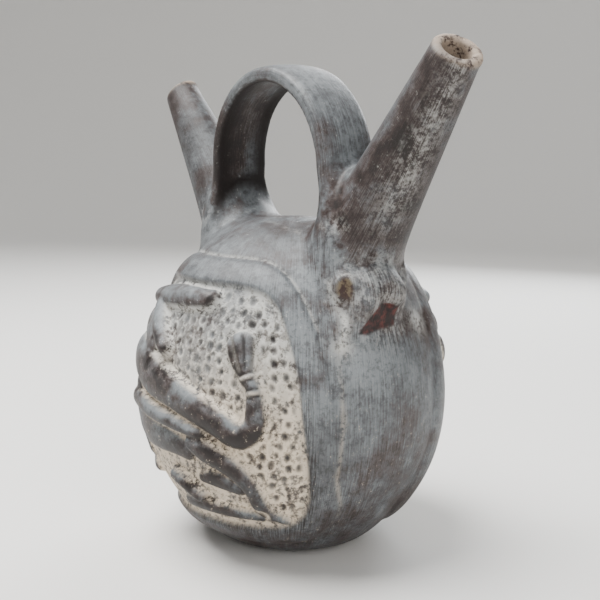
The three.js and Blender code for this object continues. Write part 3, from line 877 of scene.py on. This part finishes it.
def build_strap(mesh):
    """A flat band, spun over the top and drawn down into two legs."""
    section = bmesh.ops.create_grid(mesh, x_segments=1, y_segments=1, size=1.0)
    lean = math.tan(STRAP_LEAN)
    for vert in section["verts"]:
        off = STRAP_RADIUS + vert.co.x * STRAP_THICKNESS / 2
        vert.co = Vector((off * MM, vert.co.y * STRAP_WIDTH / 2 * MM, STRAP_CENTRE_Z * MM))
    faces = list({face for vert in section["verts"] for face in vert.link_faces})
    drop = Vector((math.sin(STRAP_SPLAY), 0.0, -math.cos(STRAP_SPLAY))) * (STRAP_LEG + STRAP_ROOT) * MM
    spun = bmesh.ops.spin(mesh, geom=faces, cent=(0, 0, STRAP_CENTRE_Z * MM), axis=(0, -1, 0), angle=math.pi,
                          steps=24)
    last = [item for item in spun["geom_last"] if isinstance(item, bmesh.types.BMFace)]
    arch = {vert for face in mesh.faces for vert in face.verts}
    for end, side in ((faces, 1.0), (last, -1.0)):
        if end is faces and not all(face.is_valid for face in faces):
            edges = [edge for edge in mesh.edges if edge.is_boundary]
            end = bmesh.ops.contextual_create(mesh, geom=edges)["faces"]
        foot = bmesh.ops.extrude_face_region(mesh, geom=end)["geom"]
        verts = [item for item in foot if isinstance(item, bmesh.types.BMVert)]
        bmesh.ops.translate(mesh, verts=verts, vec=(drop.x * side, 0.0, drop.z))
        bmesh.ops.delete(mesh, geom=[face for face in end if face.is_valid], context="FACES_ONLY")
        arch.update(verts)
    for vert in arch:
        across = vert.co.y / MM
        forward = STRAP_FORWARD + (vert.co.z / MM - BODY_TOP_Z) * lean
        vert.co.y = (across - forward) * MM
        vert.co.z += across * lean * MM


def closed_mesh(name, build):
    """A mesh made by build on a fresh bmesh, with its faces pointing out."""
    mesh = bmesh.new()
    build(mesh)
    bmesh.ops.remove_doubles(mesh, verts=mesh.verts, dist=1e-6)
    bmesh.ops.recalc_face_normals(mesh, faces=mesh.faces)
    data = bpy.data.meshes.new(name)
    mesh.to_mesh(data)
    mesh.free()
    return data


def build_body(mesh):
    add_ball(mesh, BODY_CENTRE, BODY_HALF)
    cut_flat(mesh, 0.0)


def build_cavity(mesh):
    add_ball(mesh, BODY_CENTRE, BODY_HALF - BODY_WALL)
    cut_flat(mesh, FLOOR)


def build_lug(mesh):
    for side in (1.0, -1.0):
        for centre, half in [(HEAD_CENTRE, HEAD_HALF)] + [(ear, EAR_RADIUS) for ear in EAR_PLACES]:
            add_ball(mesh, np.array(centre) * (side, side, 1.0), half, 16)


def build_spouts(mesh):
    for spout in SPOUTS:
        add_tube(mesh, spout, SPOUT_FOOT_RADIUS, spout.tip_radius, spout.length)
        add_tube(mesh, spout, SPOUT_FOOT_RADIUS + SPOUT_FLARE + SKIRT_FOOT_ROOM,
                 spout.radius(SKIRT_REACH) + SKIRT_TOP_ROOM, SKIRT_REACH)


def build_bores(mesh):
    for spout in SPOUTS:
        over = spout.length + 8.0
        add_tube(mesh, spout, SPOUT_FOOT_RADIUS - SPOUT_WALL, spout.radius(over) - SPOUT_WALL, over)


def build_sweep(mesh, reach):
    flat, corner = reach * 0.7, reach * 0.3
    profile = [mesh.verts.new((0.0, 0.0, 0.0))]
    for step in range(CORNER_STEPS + 1):
        angle = math.pi / 2 * step / CORNER_STEPS
        profile.append(mesh.verts.new((flat + corner * math.sin(angle), 0.0, corner * (1 - math.cos(angle)))))
    profile.append(mesh.verts.new((flat + corner, 0.0, reach * 0.8)))
    edges = [mesh.edges.new(pair) for pair in zip(profile, profile[1:])]
    bmesh.ops.spin(mesh, geom=profile + edges, cent=(0, 0, 0), axis=(0, 0, 1), angle=2 * math.pi,
                   steps=SWEEP_STEPS, use_merge=True)


def boolean(piece, tool, operation):
    change = piece.modifiers.new(operation.lower(), "BOOLEAN")
    change.operation = operation
    change.solver = "EXACT"
    change.use_self = True
    change.object = tool


def evaluated_mesh(piece):
    """The piece's mesh with its modifiers applied."""
    graph = bpy.context.evaluated_depsgraph_get()
    return bpy.data.meshes.new_from_object(piece.evaluated_get(graph), preserve_all_data_layers=True,
                                           depsgraph=graph)


def rough_clay(sizes):
    """The clay roughly joined and hollowed, as an even mesh of small facets."""
    clay = new_piece("clay_blank", closed_mesh("clay_blank", build_body))
    tools = []
    for name, build, operation in (("spout_blank", build_spouts, "UNION"),
                                   ("strap_blank", build_strap, "UNION"),
                                   ("lug_blank", build_lug, "UNION"),
                                   ("cavity_blank", build_cavity, "DIFFERENCE"),
                                   ("bore_blank", build_bores, "DIFFERENCE")):
        tool = new_piece(name, closed_mesh(name, build))
        tools.append(tool)
        boolean(clay, tool, operation)
    remesh = clay.modifiers.new("grain", "REMESH")
    remesh.mode = "VOXEL"
    remesh.voxel_size = sizes.grain * MM
    mesh = evaluated_mesh(clay)
    for piece in [clay, *tools]:
        bpy.data.objects.remove(piece)
    return mesh


def coordinates(mesh):
    """The vertices of a mesh, in millimetres."""
    flat = np.empty(len(mesh.vertices) * 3)
    mesh.vertices.foreach_get("co", flat)
    return flat.reshape(-1, 3) / MM


def place_vertices(mesh, points):
    mesh.vertices.foreach_set("co", (points * MM).ravel())
    mesh.update()


def hidden_inside(points):
    """True for points of the inner wall that no view through a mouth reaches."""
    deep = np.ones(len(points), bool)
    for spout in SPOUTS:
        along, radial = spout.along(points)
        deep &= ~((along > spout.length - SEEN_DEPTH) & (radial < SPOUT_FOOT_RADIUS))
    return on_inner_wall(points) & deep


def thin_out(mesh, points, keep=0.1):
    """The hidden inner wall's facets merged to a tenth of their number."""
    piece = new_piece("clay_thinning", mesh)
    hidden = hidden_inside(points)
    group = piece.vertex_groups.new(name="hidden")
    group.add(np.flatnonzero(hidden).tolist(), 1.0, "REPLACE")
    change = piece.modifiers.new("thin", "DECIMATE")
    change.vertex_group = "hidden"
    change.ratio = 1.0 - hidden.mean() * (1.0 - keep)
    thinned = evaluated_mesh(piece)
    bpy.data.objects.remove(piece)
    return thinned


def fine_region(points):
    """True for points where the relief, the lips and the lugs need smaller facets."""
    front = panel_reach(points[:, 0], points[:, 2]) < FINE_PANEL
    outer = np.abs(egg_distance(points)) < ON_WALL
    region = front & outer & (np.abs(points[:, 1]) > PANEL_FROM_Y)
    for spout in SPOUTS:
        along, _ = spout.along(points)
        region |= along > spout.length - FINE_LIP
        lug = HEAD_CENTRE * (spout.side, spout.side, 1.0)
        near_lug = np.linalg.norm(points - lug, axis=1) < FINE_LUG
        region |= near_lug & (np.abs(points[:, 0]) > FINE_LUG_FROM_X)
    return region


def refine(mesh):
    """The facets of the fine regions split in four."""
    work = bmesh.new()
    work.from_mesh(mesh)
    work.verts.ensure_lookup_table()
    fine = fine_region(np.array([vert.co[:] for vert in work.verts]) / MM)
    edges = [edge for edge in work.edges if fine[edge.verts[0].index] and fine[edge.verts[1].index]]
    bmesh.ops.subdivide_edges(work, edges=edges, cuts=1, use_grid_fill=True)
    bmesh.ops.triangulate(work, faces=[face for face in work.faces if len(face.verts) > 4])
    work.to_mesh(mesh)
    work.free()


def lay_on(masks, name, values, where=slice(None)):
    """The mask raised to the values wherever they are larger."""
    masks[name][where] = np.maximum(masks[name][where], values)


def carve(points, sizes):
    """The relief raised and sunk in the outer wall, with the masks for its finish."""
    names = ("soil", "pit", "rim", "crease", "pale", "crack", "brown", "slaty", "figure")
    masks = {name: np.zeros(len(points)) for name in names}
    moved = points.copy()
    outward = slope_of(egg_distance, points)
    outward /= np.maximum(np.linalg.norm(outward, axis=1, keepdims=True), 1e-9)
    wall = egg_distance(points)
    on_wall = np.abs(wall) < ON_WALL
    for number, side in enumerate((1.0, -1.0)):
        turned = points * (side, side, 1.0)
        where = np.flatnonzero(on_wall & (turned[:, 1] < -PANEL_FROM_Y)
                               & (panel_reach(turned[:, 0], turned[:, 2]) < PANEL_REACH))
        relief = Relief(turned[where], sizes, sizes.seed + number).lift()
        moved[where] += outward[where] * relief.pop("lift")[:, None]
        for name, values in relief.items():
            lay_on(masks, name, values, where)
        seam = seam_offset(turned)
        step = smooth_step(0.6, -0.6, seam) * np.exp(np.minimum(seam, 0.0) / SEAM_FADE)
        step *= (turned[:, 0] > 0) * on_wall
        step *= smooth_step(16.0, 30.0, points[:, 2]) * smooth_step(118.0, 108.0, points[:, 2])
        moved += outward * (SEAM_STEP * step * (turned[:, 1] < 0))[:, None]
        for ear in EAR_PLACES:
            moved -= hollow_ear(turned, ear) * (side, side, 1.0)
        dent = bell(path_distance(turned, MUZZLE_GROOVE), MUZZLE_GROOVE_WIDTH) * (wall > 1.5)
        moved -= np.outer(MUZZLE_GROOVE_DEPTH * dent, MUZZLE_GROOVE_OUT) * (side, side, 1.0)
    return moved, masks


def hollow_ear(points, ear):
    """How far each point near an ear moves in to hollow it."""
    out = unit(EAR_HOLLOW_OUT * (1.0, math.copysign(1.0, ear[1]), 1.0))
    away = points - ear
    along = away @ out
    across = away - np.outer(along, out)
    radial = np.hypot(np.linalg.norm(across[:, :2], axis=1) * 1.15, across[:, 2] * 0.85)
    dip = smooth_step(EAR_HOLLOW_RADIUS, 0.6, radial) * smooth_step(-1.5, 1.0, along)
    return np.outer(dip * (along < EAR_RADIUS + 2.5) * EAR_HOLLOW_DEPTH, out)


def finish_spout(spout, points, free, inner, masks, grain):
    """One spout's wear, lip and grain, on points free of the strap and of the body."""
    along, radial = spout.along(points)
    turn = spout.turn(points)
    on_spout = (radial < spout.radius(along) + 1.5) & (along > SPOUT_FROM) & free
    grain[on_spout] = np.stack([np.degrees(turn) * 0.35 + 90.0 * spout.side, along,
                                np.full(len(points), SPOUT_GRAIN)], axis=1)[on_spout]
    # Painted shade: the spout's outer, lower side is painted browner, fully on the near spout and half on the
    # far one.
    shaded_outer_side = smooth_step(-0.75, 0.25, np.cos(turn)) * (1.0 if spout.side > 0 else 0.5)
    fade = smooth_step(SPOUT_FROM, 40.0, along) * on_spout
    lay_on(masks, "brown", (0.5 + 0.45 * shaded_outer_side) * fade)
    lip = smooth_step(spout.length - 3.2, spout.length - 0.4, along + 0.25 * (radial - spout.tip_radius))
    # The rim's beige is worn clay; inside the bore the beige is a painted pool of light.
    lit_bore = inner & (along > spout.length - 60.0)
    lay_on(masks, "lip", np.where(on_spout, np.where(lit_bore, 0.85, 0.9 * lip), 0.0))
    band = bell(turn + 0.5, 0.45) * smooth_step(30.0, 60.0, along)
    lay_on(masks, "scumble", 0.55 * band * on_spout * (spout.side > 0))


def finish_lug(points, wall, masks):
    """One lug's pressed face, ears, soil and groove, on points turned to its own side."""
    near_lug = np.linalg.norm(points - HEAD_CENTRE, axis=1)
    on_face = facet_share(points) * (wall > 0.2)
    # Painted shade with a painted red reflection on the pressed face.
    lay_on(masks, "facet", 0.95 * on_face)
    lay_on(masks, "scumble", 0.42 * (1.0 - smooth_step(12.0, 24.0, near_lug)) * (1.0 - on_face))
    for ear in EAR_PLACES:
        hollow = np.linalg.norm(hollow_ear(points, ear), axis=1) / EAR_HOLLOW_DEPTH
        lay_on(masks, "ear", smooth_step(0.1, 0.6, hollow))
        left = smooth_step(-1.0, 3.0, (points - ear) @ (0.5, -0.6 * math.copysign(1.0, -ear[1]), -0.3))
        ring = bell(hollow - 0.12, 0.12) * (hollow > 0.01)
        lay_on(masks, "crease", 0.6 * ring * (1.0 - left))
    # Painted shade in the groove between cheek and muzzle.
    lay_on(masks, "crack", 0.8 * bell(path_distance(points, MUZZLE_GROOVE), 1.5) * (wall > 2.0))
    lay_on(masks, "crease", 0.85 * bell(path_distance(points, CREAM_TRAIL), 2.0) * (wall > -1.0))
    for *place, reach in CREAM_SPOTS:
        lay_on(masks, "crease", 0.8 * bell(np.linalg.norm(points - place, axis=1), reach))
    bead = sphere_distance(points, BEAD_PLACE, BEAD_RADIUS)
    lay_on(masks, "crease", 0.6 * smooth_step(1.0, -0.5, bead))


def finish_masks(points, masks):
    """The masks of everything but the relief, from where a point lies on the bottle, and the grain."""
    x, y, z = points.T
    wall = egg_distance(points)
    inner = on_inner_wall(points)
    strap = strap_distance(points)
    strap_off, strap_across, strap_down = strap_place(points)
    on_strap = (strap < 0.8) & (z > STRAP_FROM_Z)
    for name in ("lip", "scumble", "facet", "ear", "worn", "sooty"):
        masks[name] = np.zeros(len(points))
    # Painted shade: the strap's underside is painted near black where its shadow falls.
    under = smooth_step(-STRAP_THICKNESS / 2 + 1.6, -STRAP_THICKNESS / 2 + 0.6, strap_off)
    under = smooth_step(3.5, 0.6, strap) * under
    lay_on(masks, "sooty", under * smooth_step(STRAP_LEG, STRAP_LEG - 16.0, strap_down))
    # Painted sheen at its places, and clay painted darker at others.
    for name, places in (("worn", PAINTED_SHEEN_PLACES), ("sooty", DARKENED_PLACES)):
        for *place, reach, strength in places:
            lay_on(masks, name, strength * bell(np.linalg.norm(points - place, axis=1), reach))
    left_leg = on_strap * smooth_step(-8.0, -30.0, x) * smooth_step(9.0, -2.0, strap_across)
    # Browner and darker towards the bottom.
    lay_on(masks, "brown", 0.62 * smooth_step(70.0, 12.0, z))
    lay_on(masks, "brown", 0.9 * smooth_step(10.0, 2.0, z))
    lay_on(masks, "brown", 0.95 * left_leg)

    grain = np.stack([np.degrees(np.arctan2(y, x)), z, np.zeros(len(points))], axis=1)
    for spout in SPOUTS:
        side = spout.side
        turned = points * (side, side, 1.0)
        finish_spout(spout, points, ~on_strap & (wall > 1.0), inner, masks, grain)
        finish_lug(turned, wall, masks)
        joint = bell(strap_down - STRAP_LEG + 8.0, 3.0) * (strap_off > 0.0) * (strap_off < 12.0)
        lay_on(masks, "scumble", 0.4 * joint * (x * side > 0) * (wall > 4.0))
        streak = bell(seam_offset(turned) + 0.4, 0.8) * (turned[:, 0] > 0) * (np.abs(wall) < ON_WALL)
        lay_on(masks, "crease", 0.26 * streak * smooth_step(20.0, 40.0, z))
    grain[on_strap] = np.stack([strap_across + 200.0, np.degrees(np.arctan2(x, z - STRAP_CENTRE_Z)) * 0.65,
                                strap_off], axis=1)[on_strap]
    return grain


def facet_share(points):
    """1 on the pressed face of a lug's chin and 0 off it."""
    normal = unit(HEAD_FACE_NORMAL)
    inside = 1.6 - np.abs((points - HEAD_FACE_PLACE) @ normal)
    corners = np.array(FACET_CORNERS)
    middle = corners.mean(axis=0)
    for start, stop in zip(corners, np.roll(corners, -1, axis=0)):
        inward = np.cross(normal, stop - start)
        inward *= math.copysign(1.0, inward @ (middle - start)) / np.linalg.norm(inward)
        inside = np.minimum(inside, (points - start) @ inward)
    return smooth_step(-0.3, 0.5, inside)


def seam_offset(points):
    """Distance from the mould's seam beside a panel, in millimetres: below 0 on the panel's side."""
    height = points[:, 2]
    return (points[:, 1] + SEAM_Y - SEAM_BEND * smooth_step(90.0, 112.0, height)
            - SEAM_BEND * smooth_step(45.0, 25.0, height))


def store(mesh, name, values, kind="FLOAT"):
    layer = mesh.attributes.new(name, kind, "POINT")
    field = "vector" if kind == "FLOAT_VECTOR" else "value"
    layer.data.foreach_set(field, np.ascontiguousarray(values, float).ravel())


def grain_breaks(mesh, grain, most=9.0, steps=3):
    """1 where the grain jumps from one vertex to the next, fading out over a few facets."""
    pairs = np.empty(len(mesh.edges) * 2, np.int32)
    mesh.edges.foreach_get("vertices", pairs)
    first, second = pairs.reshape(-1, 2).T
    level = np.zeros(len(grain))
    jump = np.abs(grain[first] - grain[second]).max(axis=1) > most
    level[first[jump]] = 1.0
    level[second[jump]] = 1.0
    for _ in range(steps):
        spread_level = level.copy()
        np.maximum.at(spread_level, first, level[second] - 1.0 / (steps + 1))
        np.maximum.at(spread_level, second, level[first] - 1.0 / (steps + 1))
        level = spread_level
    return level


def facing_up(mesh):
    """How far each vertex faces up: 1 up, 0.5 sideways and 0 down."""
    normals = np.empty(len(mesh.vertices) * 3, np.float32)
    mesh.vertex_normals.foreach_get("vector", normals)
    return normals.reshape(-1, 3)[:, 2] * 0.5 + 0.5


# Operators

class BOTTLE_OT_clay(Operator):
    """Make the bottle's one piece of clay, with its relief"""

    bl_idname = "bottle.clay"
    bl_label = "Clay"

    def execute(self, context):
        sizes = context.scene.bottle_clay
        mesh = rough_clay(sizes)
        points = settle(coordinates(mesh), rounds=5)
        place_vertices(mesh, points)
        mesh = thin_out(mesh, points)
        refine(mesh)
        points = settle(coordinates(mesh), rounds=3)
        carved, masks = carve(points, sizes)
        grain = finish_masks(points, masks)
        place_vertices(mesh, carved)
        masks["seamless"] = 1.0 - grain_breaks(mesh, grain)
        # Which way each vertex faces, for the painted shade and highlights.
        masks["facing"] = facing_up(mesh)
        for name, values in masks.items():
            store(mesh, name, values)
        store(mesh, "grain", grain, "FLOAT_VECTOR")
        mesh.name = "bottle_clay"
        mesh.polygons.foreach_set("use_smooth", np.ones(len(mesh.polygons), bool))
        mesh.materials.clear()
        mesh.materials.append(blackware(context.scene.bottle_colours))
        piece = new_piece("bottle_clay", mesh)
        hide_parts("bottle")
        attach(piece, "root")
        triangles = sum(len(face.vertices) - 2 for face in mesh.polygons)
        print("bottle_clay:", len(mesh.vertices), "vertices,", triangles, "triangles")
        return {"FINISHED"}


class BOTTLE_OT_stage(Operator):
    """Make the camera, the pale sweep and the soft studio lights"""

    bl_idname = "bottle.stage"
    bl_label = "Stage"

    def execute(self, context):
        studio = context.scene.bottle_studio
        self.camera(context, studio)
        self.sweep(studio)
        aim = Vector(studio.aim)
        for name, size, place, colour in LIGHTS:
            self.light(name, getattr(studio, name), size, place, aim, colour)
        world = bpy.data.worlds.new("studio_air")
        world.use_nodes = True
        world.node_tree.nodes["Background"].inputs[0].default_value = AIR_COLOUR
        world.node_tree.nodes["Background"].inputs[1].default_value = AIR_STRENGTH
        context.scene.world = world
        return {"FINISHED"}

    @staticmethod
    def camera(context, studio):
        data = bpy.data.cameras.new("camera")
        data.lens = studio.lens
        data.sensor_width = SENSOR_WIDTH
        data.clip_start = 0.01
        camera = bpy.data.objects.new("camera", data)
        context.scene.collection.objects.link(camera)
        level = math.cos(studio.elevation)
        away = Vector((math.sin(studio.azimuth) * level, -math.cos(studio.azimuth) * level,
                       math.sin(studio.elevation)))
        turn = away.to_track_quat("Z", "Y").to_matrix().to_4x4()
        roll = Matrix.Rotation(studio.roll, 4, "Z")
        camera.matrix_world = Matrix.Translation(Vector(studio.aim) + away * studio.distance) @ turn @ roll
        context.scene.camera = camera

    @staticmethod
    def sweep(studio):
        """A round floor that curves up at its rim, so that every view has the same pale ground."""
        data = closed_mesh("sweep", lambda mesh: build_sweep(mesh, studio.floor_reach))
        data.polygons.foreach_set("use_smooth", [True] * len(data.polygons))
        data.materials.append(studio_paper())
        floor = new_piece("sweep", data)

    @staticmethod
    def light(name, power, size, place, aim, colour):
        data = bpy.data.lights.new(name, "AREA")
        data.shape = "DISK"
        data.size = size
        data.energy = power
        data.color = colour
        light = bpy.data.objects.new(name, data)
        light.location = place
        light.rotation_euler = (Vector(place) - aim).to_track_quat("Z", "Y").to_euler()
        bpy.context.scene.collection.objects.link(light)


class BOTTLE_PT_maker(Panel):
    """The bottle's settings and steps"""

    bl_label = "Double-Spout Bottle"
    bl_idname = "BOTTLE_PT_maker"
    bl_space_type = "VIEW_3D"
    bl_region_type = "UI"
    bl_category = "Bottle"

    def draw(self, context):
        for group in (context.scene.bottle_clay, context.scene.bottle_colours, context.scene.bottle_studio):
            box = self.layout.box()
            for name in group.__annotations__:
                box.prop(group, name)
        for step in STEPS:
            self.layout.operator(step.bl_idname)


STEPS = (BOTTLE_OT_stage, BOTTLE_OT_clay)
SETTINGS = {"bottle_clay": ClaySizes, "bottle_colours": ClayColours, "bottle_studio": StudioSizes}


def register():
    for group in (*SETTINGS.values(), *STEPS, BOTTLE_PT_maker):
        bpy.utils.register_class(group)
    for name, group in SETTINGS.items():
        setattr(bpy.types.Scene, name, PointerProperty(type=group))


def unregister():
    for name in SETTINGS:
        delattr(bpy.types.Scene, name)
    for group in reversed((*SETTINGS.values(), *STEPS, BOTTLE_PT_maker)):
        bpy.utils.unregister_class(group)


def main():
    register()
    bpy.ops.bottle.stage()
    bpy.ops.bottle.clay()


if __name__ == "__main__":
    main()
